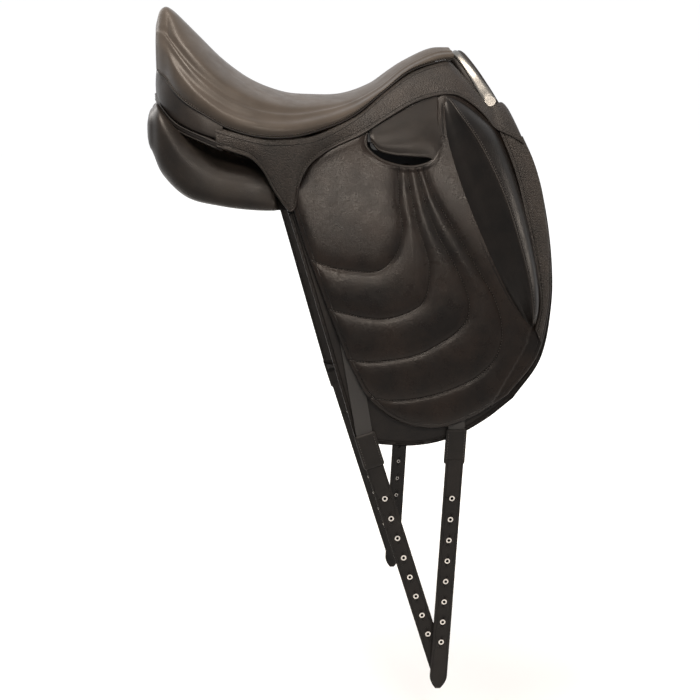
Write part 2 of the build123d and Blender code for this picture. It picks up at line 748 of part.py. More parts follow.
def make_sleeve(line, slope):
    """A doubled leather sleeve round the webbing's end, its inner leaf cut back below the sweat flap."""
    run = SLEEVE_LEN + HEAD_GAP + STRAP_T / 2
    room = WEB_T / 2 + SLEEVE_ROOM
    half = room + SLEEVE_LEAF
    body = hung(line, slope, 0, STRAP_W / 2 + SLEEVE_LAP, -run, -run + SLEEVE_LEN, -half, half)
    body -= hung(line, slope, 0, STRAP_W / 2 + 0.6, -run - 5, -run + WEB_IN_SLEEVE + 5, -room, room)
    curved = drum_wall(WEB_OFF - WEB_T / 2 - SLEEVE_ROOM, WEB_OFF + WEB_T / 2 + SLEEVE_ROOM)
    body -= curved & hung(line, slope, 0, STRAP_W / 2 + 0.6, -run - 5, -run + WEB_IN_SLEEVE + 5, -20, 20)
    (x, z) = line[-1]
    behind = block(x - 50, x + 50, room - WEB_PLANE, 0, down(SWEAT_LOW) - 1, z + 50)
    return body - behind


def hole_places():
    return [FIRST_HOLE + HOLE_PITCH * i for i in range(HOLE_COUNT)]


def make_strap(line, slope, step):
    """A girth strap below its pivot, with a rounded head and a pointed tip."""
    plane = strap_frame(line, slope, step)
    length = hole_places()[-1] + LAST_HOLE_TO_TIP
    w = STRAP_W / 2
    tip = [(-w, 0), (-w, -length + 16), (-w * 0.45, -length + 3), (0, -length), (w * 0.45, -length + 3),
           (w, -length + 16), (w, 0)]
    face = make_face(Polyline(*tip, close=True))
    body = extrude(plane.offset(-STRAP_T / 2) * face, STRAP_T)
    head = plane * Location((0, 0, 0), (0, 90, 0)) * Cylinder(STRAP_T / 2, STRAP_W)
    body += head
    for s in hole_places():
        body -= plane * Pos(0, -s, 0) * Cylinder(HOLE_R + EYELET_WALL + EYELET_FIT, 3 * STRAP_T)
    return body


def make_eyelets(line, slope, step):
    plane = strap_frame(line, slope, step)
    solids = []
    for s in hole_places():
        place = plane * Pos(0, -s, 0)
        tube = place * Cylinder(HOLE_R + EYELET_WALL, STRAP_T)
        lift = STRAP_T / 2 + EYELET_RIM_T / 2
        rim = place * Pos(0, 0, lift) * Cylinder(EYELET_RIM, EYELET_RIM_T)
        solids.append(tube + rim - place * Cylinder(HOLE_R, 4 * STRAP_T))
    return Compound(children=solids)


# ---- the pieces ---------------------------------------------------------------------------------
def save(name, shape):
    export_step(shape, f"parts/{name}.step")


def save_pair(name, right):
    save(name + "_right", right)
    save(name + "_left", mirrored(right))


os.makedirs("parts", exist_ok=True)

save("tree", make_tree())
save("head_plate", make_head())
save("seat_foam", make_foam())
save("seat_leather", make_seat_leather())
save("cantle_back", make_cantle_back())
save("panel_bridge", make_bridge())
save("cantle_strip", make_strip())
save("pommel_facing", make_facing())
save("pommel_plate", make_plate())
save("pommel_studs", Compound(children=[make_stud(), mirrored(make_stud())]))

save_pair("tree_point", make_point())
save_pair("seat_welt", make_welt())
save_pair("skirt", make_skirt())
save_pair("flap", make_flap())
save_pair("sweat_flap", make_sweat_flap())
save_pair("flap_band", make_band())
save_pair("knee_block", make_knee_block())
save_pair("knee_piping", make_knee_piping())
save_pair("panel", make_panel())
save_pair("stirrup_bar", make_bar())
save_pair("bar_rivets", make_rivets())
save_pair("bar_catch", make_catch())
save_pair("catch_pin", make_pin())
save_pair("bar_lip", make_lip())

for place, line, slope, step in (("front", FRONT_LINE, FRONT_SLOPE, STRAP_STEP / 2),
                                 ("rear", REAR_LINE, REAR_SLOPE, -STRAP_STEP / 2)):
    save_pair("webbing_" + place, make_webbing(line, slope))
    save_pair("sleeve_" + place, make_sleeve(line, slope))
    save_pair("strap_" + place, make_strap(line, slope, step))
    save_pair("eyelets_" + place, make_eyelets(line, slope, step))
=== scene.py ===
import bmesh
import bpy
import math
import numpy as np
from mathutils import Matrix, Vector


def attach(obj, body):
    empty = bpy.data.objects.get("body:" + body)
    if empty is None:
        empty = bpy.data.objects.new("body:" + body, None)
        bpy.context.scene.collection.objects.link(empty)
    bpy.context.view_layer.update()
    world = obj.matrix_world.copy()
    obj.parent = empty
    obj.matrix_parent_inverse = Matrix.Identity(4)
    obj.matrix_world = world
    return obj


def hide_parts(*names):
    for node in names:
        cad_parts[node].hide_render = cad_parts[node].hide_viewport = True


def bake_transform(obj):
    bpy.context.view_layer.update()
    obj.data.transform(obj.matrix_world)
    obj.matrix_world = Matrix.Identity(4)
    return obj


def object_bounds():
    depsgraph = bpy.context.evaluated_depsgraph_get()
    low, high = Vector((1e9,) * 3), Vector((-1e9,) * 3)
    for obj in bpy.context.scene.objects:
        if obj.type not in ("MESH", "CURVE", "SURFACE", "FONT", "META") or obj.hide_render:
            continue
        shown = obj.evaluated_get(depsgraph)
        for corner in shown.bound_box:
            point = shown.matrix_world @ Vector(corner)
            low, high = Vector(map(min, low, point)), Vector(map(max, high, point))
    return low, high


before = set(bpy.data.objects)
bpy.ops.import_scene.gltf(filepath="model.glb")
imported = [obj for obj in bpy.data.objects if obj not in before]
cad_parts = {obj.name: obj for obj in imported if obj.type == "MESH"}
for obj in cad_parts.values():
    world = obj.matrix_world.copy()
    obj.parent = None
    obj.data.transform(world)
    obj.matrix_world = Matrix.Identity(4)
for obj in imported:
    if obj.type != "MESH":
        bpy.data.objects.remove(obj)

cad_low, cad_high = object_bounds()


# ---- Studio ---------------------------------------------------------------------------------------
# The saddle hangs over a pale floor under a pale sky that is brighter behind.  The floor carries painted
# light: it is painted darker in front and glows more behind, though it is no lamp.  A window light in front
# and a broad one on top give the leather its sheen, one ahead reaches the pommel, and a weak one behind the
# cantle.
def soft_light(name, place, aim, size, power, tint):
    data = bpy.data.lights.new(name, "AREA")
    data.shape = "RECTANGLE"
    data.size, data.size_y = size
    data.energy = power
    data.color = tint
    lamp = bpy.data.objects.new(name, data)
    lamp.location = place
    lamp.rotation_euler = (Vector(aim) - Vector(place)).to_track_quat("-Z", "Y").to_euler()
    bpy.context.scene.collection.objects.link(lamp)


RANGE_SOCKETS = ("From Min", "From Max", "To Min", "To Max")


def fade(tree, coordinates, limits, socket):
    """Feeds a socket with a smooth step along Y; limits hold the Y range and the value at each end."""
    place = tree.nodes.new("ShaderNodeTexCoord")
    split = tree.nodes.new("ShaderNodeSeparateXYZ")
    ramp = tree.nodes.new("ShaderNodeMapRange")
    ramp.interpolation_type = "SMOOTHSTEP"
    for key, value in zip(RANGE_SOCKETS, limits):
        ramp.inputs[key].default_value = value
    tree.links.new(place.outputs[coordinates], split.inputs["Vector"])
    tree.links.new(split.outputs["Y"], ramp.inputs["Value"])
    tree.links.new(ramp.outputs["Result"], socket)


WARM = (1.0, 0.88, 0.76)
soft_light("Window_light", (0.30, -1.98, 1.24), (0.05, -0.1, -0.02), (0.9, 0.30), 29, WARM)
soft_light("Top_light", (-0.45, -0.35, 1.6), (0.0, 0.0, 0.0), (1.0, 0.7), 54, WARM)
soft_light("Front_light", (1.9, -0.55, 0.50), (0.2, -0.2, -0.05), (0.35, 0.9), 19, WARM)
soft_light("Rear_light", (-1.2, 1.7, 0.9), (0.0, 0.0, 0.0), (0.9, 0.9), 8, (1.0, 0.95, 0.9))

sweep_mesh = bpy.data.meshes.new("Backdrop")
bm = bmesh.new()
bmesh.ops.create_grid(bm, x_segments=4, y_segments=4, size=9)
for v in bm.verts:
    v.co.z = cad_low.z - 0.10
bm.to_mesh(sweep_mesh)
bm.free()
backdrop = bpy.data.objects.new("Backdrop", sweep_mesh)
bpy.context.scene.collection.objects.link(backdrop)
pale = bpy.data.materials.new("Pale_floor")
pale.use_nodes = True
shader = pale.node_tree.nodes["Principled BSDF"]
# Painted shade and light: the floor's colour is darker in front and its glow grows towards the back.
fade(pale.node_tree, "Object", (-1.2, 0.2, 0.56, 0.80), shader.inputs["Base Color"])
fade(pale.node_tree, "Object", (-0.6, 1.8, 0.05, 0.58), shader.inputs["Emission Strength"])
shader.inputs["Emission Color"].default_value = (0.98, 0.98, 0.97, 1)
shader.inputs["Roughness"].default_value = 0.9
shader.inputs["Specular IOR Level"].default_value = 0.1
sweep_mesh.materials.append(pale)

world = bpy.data.worlds.new("Studio")
world.use_nodes = True
sky = world.node_tree.nodes["Background"]
fade(world.node_tree, "Generated", (-0.3, 0.7, 0.56, 1.06), sky.inputs["Strength"])
sky.inputs["Color"].default_value = (0.95, 0.95, 0.96, 1)
bpy.context.scene.world = world
bpy.context.scene.view_settings.view_transform = "Standard"

camera_data = bpy.data.cameras.new("Camera")
camera_data.lens = 63.8
camera_data.sensor_width = 36
camera = bpy.data.objects.new("Camera", camera_data)
turn, tilt, distance = math.radians(-7), math.radians(14), 1.75
aim = Vector((0.040, 0, -0.257))
back = Vector((math.sin(turn) * math.cos(tilt), -math.cos(turn) * math.cos(tilt), math.sin(tilt)))
camera.location = aim + back * distance
camera.rotation_euler = (-back).to_track_quat("-Z", "Y").to_euler()
bpy.context.scene.collection.objects.link(camera)
bpy.context.scene.camera = camera


# ---- Seat -----------------------------------------------------------------------------------------
# The seat is calf leather drawn over foam on the tree.  It crowns along the middle, rolls over at a
# soft double rim and drops to a sewn seam above the skirts.
def flow(points, count):
    """A smooth curve of count points through the given ones, evenly spaced along it."""
    p = np.asarray(points, float)
    p = np.vstack([2 * p[0] - p[1], p, 2 * p[-1] - p[-2]])
    gaps = np.sqrt(np.linalg.norm(np.diff(p, axis=0), axis=1)) + 1e-9
    knots = np.concatenate([[0], np.cumsum(gaps)])
    fine = []
    for i in range(1, len(p) - 2):
        t = np.linspace(knots[i], knots[i + 1], 24, endpoint=False)[:, None]
        k, q = knots[i - 1:i + 3], p[i - 1:i + 3]
        a = [((k[j + 1] - t) * q[j] + (t - k[j]) * q[j + 1]) / (k[j + 1] - k[j]) for j in range(3)]
        b = [((k[j + 2] - t) * a[j] + (t - k[j]) * a[j + 1]) / (k[j + 2] - k[j]) for j in range(2)]
        fine.append(((k[2] - t) * b[0] + (t - k[1]) * b[1]) / (k[2] - k[1]))
    fine = np.vstack(fine + [p[-2:-1]])
    run = np.concatenate([[0], np.cumsum(np.linalg.norm(np.diff(fine, axis=0), axis=1))])
    at = np.linspace(0, run[-1], count)
    return np.stack([np.interp(at, run, fine[:, c]) for c in range(fine.shape[1])], axis=1)


def skin(rows, ring=False):
    """A bmesh grid laid through rows of points given in millimetres."""
    rows = np.asarray(rows, float)
    along, across = rows.shape[:2]
    bm = bmesh.new()
    bmesh.ops.create_grid(bm, x_segments=across - 1, y_segments=along - 1, size=1)
    for v, place in zip(bm.verts, rows.reshape(-1, 3) * 0.001):
        v.co = place
    if ring:
        bmesh.ops.remove_doubles(bm, verts=bm.verts, dist=1e-6)
    return bm


def face_out(bm, away):
    """Turns the faces so that most of them look away from a point given in millimetres."""
    bm.normal_update()
    away = Vector(away) * 0.001
    total = sum(f.normal.dot(f.calc_center_median() - away) * f.calc_area() for f in bm.faces)
    if total < 0:
        bmesh.ops.reverse_faces(bm, faces=bm.faces)
    return bm


def finished(name, bm, finish, nodes=(), body="saddle"):
    """Makes a smooth-shaded piece of a bmesh, rides it on its body and hides the nodes it stands for."""
    mesh = bpy.data.meshes.new(name)
    bm.to_mesh(mesh)
    bm.free()
    mesh.polygons.foreach_set("use_smooth", [True] * len(mesh.polygons))
    mesh.materials.append(finish)
    piece = bpy.data.objects.new(name, mesh)
    bpy.context.scene.collection.objects.link(piece)
    if body:
        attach(piece, body)
    if nodes:
        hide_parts(*nodes)
    return piece


def pair(name, bm, finish, nodes=(), body="saddle", shape=None, bends=None):
    """Makes the right-hand piece and its mirrored left-hand one; given bends, the pieces ride no body and
    keep their places, and the bend points themselves are not used.
    """
    other = bm.copy()
    for v in other.verts:
        v.co.y = -v.co.y
    bmesh.ops.reverse_faces(other, faces=other.faces)
    for side, mesh in (("right", bm), ("left", other)):
        own = [node + "_" + side for node in nodes]
        rides = body if body == "saddle" else body + "_" + side
        piece = finished(name + "_" + side, mesh, finish, own, None if bends else rides)
        if bends:
            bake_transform(piece)
        if shape:
            shape(piece)


def thicken(piece, thick):
    """Gives a sheet its thickness in metres, inwards from the face that shows."""
    wall = piece.modifiers.new("Wall", "SOLIDIFY")
    wall.thickness = thick
    wall.offset = -1


def tube(path, radius, sides=10, ref=(0.1, 1.0, 0.1)):
    """A round cord along a path; radius may be one number or one for each point."""
    p = np.asarray(path, float)
    t = np.gradient(p, axis=0)
    t /= np.linalg.norm(t, axis=1)[:, None]
    side = np.cross(t, np.asarray(ref, float))
    side /= np.linalg.norm(side, axis=1)[:, None]
    up = np.cross(side, t)
    a = np.linspace(0, 2 * np.pi, sides + 1)[None, :, None]
    r = np.broadcast_to(np.asarray(radius, float), (len(p),))[:, None, None]
    rows = p[:, None] + r * (np.cos(a) * side[:, None] + np.sin(a) * up[:, None])
    return skin(rows, ring=True)


def tapered(count, radius, ends=4):
    """A radius that closes softly at both ends of a path."""
    i = np.arange(count)
    near = np.minimum(i, count - 1 - i)
    return radius * np.sqrt(np.clip((near + 0.02) / ends, 0, 1))


def stitches(path, out, pitch=3.6, length=2.3, thick=0.42):
    """Raised thread stitches along a path, standing a little proud along the outward directions."""
    p = np.asarray(path, float)
    run = np.concatenate([[0], np.cumsum(np.linalg.norm(np.diff(p, axis=0), axis=1))])
    n = np.broadcast_to(np.asarray(out, float), p.shape)
    bm = bmesh.new()
    for s in np.arange(pitch, run[-1] - pitch / 2, pitch):
        a, b = (Vector([np.interp(s + d, run, p[:, c]) for c in range(3)]) for d in (-0.8, 0.8))
        up = Vector([np.interp(s, run, n[:, c]) for c in range(3)]).normalized()
        t = (b - a).normalized()
        side = up.cross(t).normalized()
        up = t.cross(side)
        turn = Matrix((t * length / 2, side * thick, up * thick)).transposed().to_4x4()
        place = Matrix.Translation(((a + b) / 2 + up * thick * 0.25) * 0.001)
        bmesh.ops.create_icosphere(bm, subdivisions=1, radius=0.001, matrix=place @ turn)
    return bm


def texture(made, kind, scale, **settings):
    """A texture node laid in the piece's own coordinates."""
    nodes, links = made.node_tree.nodes, made.node_tree.links
    spot = nodes.get("Spot") or nodes.new("ShaderNodeTexCoord")
    spot.name = "Spot"
    node = nodes.new(kind)
    node.inputs["Scale"].default_value = scale
    for key, value in settings.items():
        node.inputs[key].default_value = value
    links.new(spot.outputs["Object"], node.inputs["Vector"])
    return node


def spread(made, source, low, high, to_low=0.0, to_high=1.0):
    """A value stretched from one range to another."""
    node = made.node_tree.nodes.new("ShaderNodeMapRange")
    for key, value in zip(RANGE_SOCKETS, (low, high, to_low, to_high)):
        node.inputs[key].default_value = value
    made.node_tree.links.new(source, node.inputs["Value"])
    return node.outputs["Result"]


def bump(made, height, strength, depth, below=None, invert=False):
    """One layer of relief over another; depth in millimetres."""
    node = made.node_tree.nodes.new("ShaderNodeBump")
    node.invert = invert
    node.inputs["Strength"].default_value = strength
    node.inputs["Distance"].default_value = depth * 0.001
    made.node_tree.links.new(height, node.inputs["Height"])
    if below:
        made.node_tree.links.new(below, node.inputs["Normal"])
    return node.outputs["Normal"]


def mixed(made, a, b, share):
    """Two colours blended by a share from 0 to 1."""
    node = made.node_tree.nodes.new("ShaderNodeMix")
    node.data_type = "RGBA"
    for key, value in (("A", a), ("B", b)):
        if isinstance(value, tuple):
            node.inputs[key].default_value = (*value, 1)
        else:
            made.node_tree.links.new(value, node.inputs[key])
    made.node_tree.links.new(share, node.inputs["Factor"])
    return node.outputs["Result"]


def leather(name, colour, warm, rough, grain=0.0, grain_size=1.2, crease=0.2, lines=()):
    """Dyed leather: mottled colour, uneven shine, pores, soft creases and, if asked, a pebbled grain with
    painted shade in its hollows.
    lines: vertex attributes that are 0 mm along a pressed line, as (attribute, at mm, half-width mm); each
    line is also darkened with painted shade."""
    made = bpy.data.materials.new(name)
    made.use_nodes = True
    nodes, links = made.node_tree.nodes, made.node_tree.links
    shader = nodes["Principled BSDF"]
    shader.inputs["Specular IOR Level"].default_value = 0.17
    mottle = texture(made, "ShaderNodeTexNoise", 20, Detail=6, Roughness=0.6)
    tint = mixed(made, colour, warm, spread(made, mottle.outputs["Fac"], 0.36, 0.7))
    rub = texture(made, "ShaderNodeTexNoise", 60, Detail=4, Roughness=0.6)
    shine = spread(made, rub.outputs["Fac"], 0.3, 0.7, rough - 0.06, rough + 0.07)
    links.new(shine, shader.inputs["Roughness"])
    pores = texture(made, "ShaderNodeTexNoise", 1600, Detail=2, Roughness=0.6)
    relief = bump(made, pores.outputs["Fac"], 0.25, 0.2)
    folds = texture(made, "ShaderNodeTexNoise", 340, Detail=4, Roughness=0.6, Distortion=1.6)
    relief = bump(made, folds.outputs["Fac"], crease, 0.7, relief)
    if grain:
        pebble = texture(made, "ShaderNodeTexVoronoi", 1000 / grain_size, Randomness=0.9)
        relief = bump(made, pebble.outputs["Distance"], grain, 0.7, relief, invert=True)
        # Painted shade: the grain is darkened in the hollows between its pebbles.
        hollow_shade = spread(made, pebble.outputs["Distance"], 0.45, 0.85, 0, 0.5)
        tint = mixed(made, tint, (0.004, 0.0036, 0.0034), hollow_shade)
    for attribute, at, half in lines:
        field = nodes.new("ShaderNodeAttribute")
        field.attribute_name = attribute
        shift = nodes.new("ShaderNodeMath")
        shift.operation = "SUBTRACT"
        shift.inputs[1].default_value = at
        links.new(field.outputs["Fac"], shift.inputs[0])
        size = nodes.new("ShaderNodeMath")
        size.operation = "ABSOLUTE"
        links.new(shift.outputs[0], size.inputs[0])
        rise = spread(made, size.outputs[0], 0.0, half)
        relief = bump(made, rise, 0.9, 0.8, relief)
        # Painted shade: each pressed line is darkened along its length, as the shadow in its crease.
        tint = mixed(made, (0.003, 0.0026, 0.0025), tint, spread(made, size.outputs[0], 0, half * 1.1, 0.2))
    links.new(tint, shader.inputs["Base Color"])
    links.new(relief, shader.inputs["Normal"])
    return made


smooth_leather = leather("Smooth_leather", (0.0085, 0.0072, 0.0064), (0.015, 0.0118, 0.0098), 0.40)
# The seat leather is a lighter copy of the black leather: painted light for the highlight on the seat's top.
seat_leather = leather("Seat_leather", (0.034, 0.0278, 0.0226), (0.048, 0.0390, 0.0315), 0.40, crease=0.05)
dark_leather = leather("Dark_leather", (0.0085, 0.0075, 0.007), (0.013, 0.0105, 0.0095), 0.5)
thread = bpy.data.materials.new("Waxed_thread")
thread.use_nodes = True
shader = thread.node_tree.nodes["Principled BSDF"]
twist = texture(thread, "ShaderNodeTexWave", 1400, Distortion=2.0)
fibre = mixed(thread, (0.02, 0.017, 0.015), (0.05, 0.043, 0.037), twist.outputs["Fac"])
thread.node_tree.links.new(fibre, shader.inputs["Base Color"])
shader.inputs["Roughness"].default_value = 0.6

# Each station: X, ridge half-width and height, crown height, seam half-width and height.
SEAT = [
    (-213, 40, 176, 190, 47, 131),
    (-209, 50, 172, 203, 58, 126),
    (-202, 62, 166, 209, 72, 120),
    (-192, 82, 150, 205, 93, 106),
    (-178, 102, 130, 192, 111, 93),
    (-160, 119, 110, 174, 126, 82),
    (-125, 134, 86, 140, 142, 63),
    (-90, 139, 75, 116, 148, 54),
    (-50, 132, 72, 101, 144, 53),
    (-10, 114, 77, 97, 127, 61),
    (30, 91, 87, 98, 104, 75),
    (70, 66, 106, 112, 78, 101),
    (110, 49, 134, 139, 61, 129),
    (150, 41, 151, 157, 51, 141),
    (171, 38, 153, 158, 47, 144),
]


def seat_line(station):
    """Half a section, from the seam up round the rolled rim to the crown, as (half-width, height)."""
    x, w, ridge, crown, seam_w, seam = station
    tall, dome, wide = ridge - seam, crown - ridge, min(w, 70)
    return [
        (seam_w, seam),
        (seam_w + 0.03 * tall + 1.0, seam + 0.30 * tall),
        (seam_w - 0.40 * (seam_w - w) + 2.0, seam + 0.66 * tall),
        (w - 0.05 * wide, ridge - 1),
        (w - 0.15 * wide, ridge + 0.16 * dome + 0.3),
        (w - 0.24 * wide, ridge + 0.25 * dome - 0.7),
        (w - 0.38 * wide, ridge + 0.50 * dome - 0.5),
        (w * 0.30, ridge + 0.93 * dome),
        (0, crown),
    ]


rows = []
for station in flow(SEAT, 170):
    half = flow(seat_line(station), 64)
    rows.append([(station[0], -w, z) for w, z in half] + [(station[0], w, z) for w, z in half[-2::-1]])
rows = np.asarray(rows)
cap_z = 131
closing = []
for shrink, lean in ((0.02, 2.0), (0.4, 2.1), (0.7, 1.9), (0.86, 1.4), (0.94, 0.9), (0.98, 0.4)):
    row = rows[0].copy()
    row[:, 1] *= shrink
    row[:, 2] = cap_z + (row[:, 2] - cap_z) * shrink
    row[:, 0] -= lean
    closing.append(row)
bm = face_out(skin(np.concatenate([closing, rows])), (-50, 0, 0))
seat = finished("Seat", bm, seat_leather, ["seat_leather"])

foam = bpy.data.materials.new("Foam")
foam.use_nodes = True
shader = foam.node_tree.nodes["Principled BSDF"]
cells = texture(foam, "ShaderNodeTexVoronoi", 700)
tint = mixed(foam, (0.50, 0.44, 0.30), (0.34, 0.29, 0.19), cells.outputs["Distance"])
foam.node_tree.links.new(tint, shader.inputs["Base Color"])
relief = bump(foam, cells.outputs["Distance"], 0.6, 0.5)
foam.node_tree.links.new(relief, shader.inputs["Normal"])
shader.inputs["Roughness"].default_value = 0.95
rows = []
for station in flow(SEAT, 60)[2:-3]:
    x, w, ridge, crown, seam_w, seam_z = station
    half = flow(seat_line((x, w - 5, ridge - 5, crown - 5, seam_w - 6, seam_z - 1)), 28)
    ring_line = [(x + 2, -w, z) for w, z in half] + [(x + 2, w, z) for w, z in half[-2::-1]]
    under = [(x + 2, t * (seam_w - 15), seam_z - 1 + (crown - 28 - seam_z) * math.sqrt(1 - t * t))
             for t in np.linspace(1, -1, 25)]
    rows.append(ring_line + under + ring_line[:1])
bm = face_out(skin(rows, ring=True), (-50, 0, 60))
bmesh.ops.holes_fill(bm, edges=[e for e in bm.edges if e.is_boundary], sides=0)
finished("Seat_foam", bm, foam, ["seat_foam"])

seam = flow([(x, -w - 0.4, z - 1.4) for x, _, _, _, w, z in SEAT], 220)
pair("Seat_seam_cord", tube(seam, tapered(220, 1.3)), dark_leather, ["seat_welt"])
pair("Seat_stitches", stitches(seam + (0, -0.9, 2.6), (0, -1, 0.3)), thread)


# ---- Cantle back and facing strip -----------------------------------------------------------------
# Below the seat's seam a smooth leather band wraps the back of the tree.  A rolled facing strip runs
# under it, round the back from skirt to skirt, and covers the join with the panels.
CANTLE = [
    ((-215, 0, 131), (-217, 0, 99)),
    ((-213, 46, 128), (-214, 51, 95)),
    ((-205, 69, 119), (-208, 80, 86)),
    ((-191, 94, 105), (-192, 109, 70)),
    ((-160, 126, 81), (-160, 139, 56)),
    ((-134, 139, 67), (-134, 147, 48)),
]
half = [top + low for top, low in CANTLE]
right = [(x, -w, z, X, -W, Z) for x, w, z, X, W, Z in half]
left = [(x, w, z, X, W, Z) for x, w, z, X, W, Z in half]
both = flow(right[::-1] + left[1:], 180)
rows = []
for line in both:
    top, low = line[:3], line[3:]
    away = np.array([(top[0] + 60) * 0.9, top[1], 0])
    away /= np.linalg.norm(away)
    row = [top - away * 2.4, top + (0, 0, 0.6)]
    row += [top + (low - top) * s + away * math.sin(math.pi * s)
            for s in (0.06, 0.2, 0.4, 0.6, 0.8, 0.94)]
    row += [low - (0, 0, 1.0) - away * 0.6, low - away * 3 + (0, 0, 1)]
    rows.append(row)
bm = face_out(skin(rows), (-80, 0, 90))
finished("Cantle_band", bm, smooth_leather, ["cantle_back"])

STRIP = [(-219, 0, 101), (-215, 46, 96), (-208, 79, 84), (-192, 109, 68), (-160, 139, 54), (-138, 149, 45)]
line = [(x + 4.5, -w, z - 5.5) for x, w, z in STRIP]
line = flow(line[::-1] + [(x, -y, z) for x, y, z in line[1:]], 220)
bm = tube(line, tapered(220, 4.2, 6), sides=18, ref=(0, 0, 1))
finished("Facing_strip", bm, dark_leather, ["cantle_strip"])
out = line - (-80, 0, 90)
out[:, 2] = 0
out /= np.linalg.norm(out, axis=1)[:, None]
for lift, name in ((3.0, "upper"), (-3.4, "lower")):
    bm = tube(line + out * 3.4 + (0, 0, lift), tapered(220, 1.0), ref=(0, 0, 1))
    finished("Strip_piping_" + name, bm, dark_leather)


# ---- Skirts ---------------------------------------------------------------------------------------
# Grained skirts lie over the bars and the tops of the flaps.  Their lower edge is folded over a cord
# and stitched just inside, and they end behind in a narrow tail.
DRUM_RADIUS, DRUM_Y, DRUM_Z = 1000, 796, -351


def drum(z, off=0.0):
    """The right-hand Y of the flap's rounded face at a height, moved outward by off."""
    return DRUM_Y - np.sqrt((DRUM_RADIUS + off) ** 2 - (z - DRUM_Z) ** 2)


def on_drum(flat, off=0.0):
    """Points given as (X, Z) and laid on the drum, moved outward by off."""
    return np.stack([flat[:, 0], drum(flat[:, 1], off), flat[:, 1]], axis=1)


SKIRT = [
    (-143, 138, 63, 150, 42),
    (-120, 145, 57, 153, 35),
    (-100, 148, 52, 154, 27),
    (-86, 149, 49, 155, 12),
    (-72, 148, 48, 155, -14),
    (-60, 147, 48, 154, -31),
    (-53, 146, 48, 155.5, -38),
    (-48, 145, 48, 153.5, -33),
    (-43, 143, 49, 150.5, -8),
    (-36, 141, 49, 145.5, 8),
    (-26, 138, 50, 140, 20),
    (-14, 132, 53, 133.5, 28),
    (0, 125, 58, 0, 36),
    (40, 100, 76, 0, 53),
    (75, 78, 101, 0, 73),
    (110, 64, 124, 0, 91),
    (144, 55, 136, 0, 100),
    (163, 53, 138, 0, 100),
    (181, 64, 121, 0, 91),
    (199, 74, 99, 0, 75),
    (213, 82, 83, 0, 58),
]
pairs = []
for x, w, z, low_w, low in SKIRT:
    low_y = -low_w if low_w else drum(low, 1.6)
    pairs.append((x, -w, z, x, low_y, low))
SKIRT_FRONT = [
    ((222, -82, 86), (223, 53)),
    ((230, -80, 87), (232, 49)),
    ((237, -85, 79), (239, 45)),
    ((243, -94, 64), (244, 42)),
    ((247, -103, 50), (247, 39)),
]
for top, (x, low) in SKIRT_FRONT:
    pairs.append(top + (x, drum(low, 3.6), low))
lines = flow(pairs, 470)
steps = 25
rows = []
for line in lines:
    top, low = line[:3], line[3:]
    drop = np.linalg.norm(low - top)
    out = np.array([0, low[2] - top[2], -(low[1] - top[1])])
    out = out / max(np.linalg.norm(out), 1e-6)
    out = out if out[1] < 0 else -out
    hug = min(drop / 30, 1.0)
    row = [top + (0, 3.0, 1.5)]
    for s in np.linspace(0, 1, steps + 1):
        belly = 3.4 * hug * math.sin(math.pi * s ** 0.8) + 0.9 * math.exp(-((1 - s) * drop / 2.2) ** 2)
        row.append(top + (low - top) * s + out * belly)
    row.append(low + (0, 2.2, 0.6))
    rows.append(row)
bm = face_out(skin(rows), (0, 0, 0))
seam_mm = bm.verts.layers.float.new("below_seam")
edge_mm = bm.verts.layers.float.new("above_edge")
across = len(rows[0])
for i, v in enumerate(bm.verts):
    line = lines[i // across]
    share = np.clip((i % across - 1) / steps, 0, 1)
    drop = np.linalg.norm(line[3:] - line[:3])
    v[seam_mm] = share * drop
    v[edge_mm] = (1 - share) * drop
grained_leather = leather("Grained_leather", (0.013, 0.0112, 0.010), (0.023, 0.0185, 0.0155), 0.47, grain=1.0,
                          grain_size=1.9, lines=[("below_seam", 7, 0.9), ("above_edge", 4.2, 0.7)])
pair("Skirt", bm, grained_leather, ["skirt"], shape=lambda p: thicken(p, 0.0016))
edge = lines[:, 3:] + (0, -0.5, -0.2)
pair("Skirt_edge_cord", tube(edge, tapered(470, 1.35)), smooth_leather)
drop = np.linalg.norm(lines[:, 3:] - lines[:, :3], axis=1)
shift = np.clip(4.2 / np.maximum(drop, 5), 0, 0.9)[:, None]
sewn = lines[:, 3:] + (lines[:, :3] - lines[:, 3:]) * shift
sewn[:, 1] -= 1.0 + 3.0 * shift[:, 0]
pair("Skirt_stitches", stitches(sewn[100:], (0, -1, 0.1)), thread)


# ---- Flaps ----------------------------------------------------------------------------------------
# One padded calf flap on each side.  Four sewn channels fan down from the slot and sweep to the rear,
# and the leather swells softly between them.
def joined(curves, step=2.0):
    """One closed outline from several smooth curves that meet at corners."""
    parts = []
    for curve in curves:
        size = np.linalg.norm(np.diff(np.asarray(curve, float), axis=0), axis=1).sum()
        parts.append(flow(curve, max(3, int(size / step)))[:-1])
    return np.vstack(parts)


def nearest(points, path, closed=False):
    """Distance from every point to a path, the side it lies on and the closest place."""
    a = np.asarray(path, float)
    b = np.roll(a, -1, axis=0) if closed else a[1:]
    a = a if closed else a[:-1]
    best = np.full(len(points), 1e9)
    side = np.ones(len(points))
    foot = np.zeros((len(points), 2))
    for p, q in zip(a, b):
        d = q - p
        s = np.clip(((points - p) @ d) / max(d @ d, 1e-9), 0, 1)
        at = p + s[:, None] * d
        off = points - at
        size = np.hypot(off[:, 0], off[:, 1])
        hit = size < best
        best[hit] = size[hit]
        foot[hit] = at[hit]
        turn = d[0] * (points[:, 1] - p[1]) - d[1] * (points[:, 0] - p[0])
        side[hit] = np.where(turn[hit] < 0, -1.0, 1.0)
    return best, side, foot


def inside(points, loop):
    """Which points lie inside a closed outline."""
    x, y = points[:, 0], points[:, 1]
    held = np.zeros(len(points), bool)
    for (x0, y0), (x1, y1) in zip(loop, np.roll(loop, -1, axis=0)):
        if y0 != y1:
            held ^= ((y0 > y) != (y1 > y)) & (x < (x1 - x0) * (y - y0) / (y1 - y0) + x0)
    return held


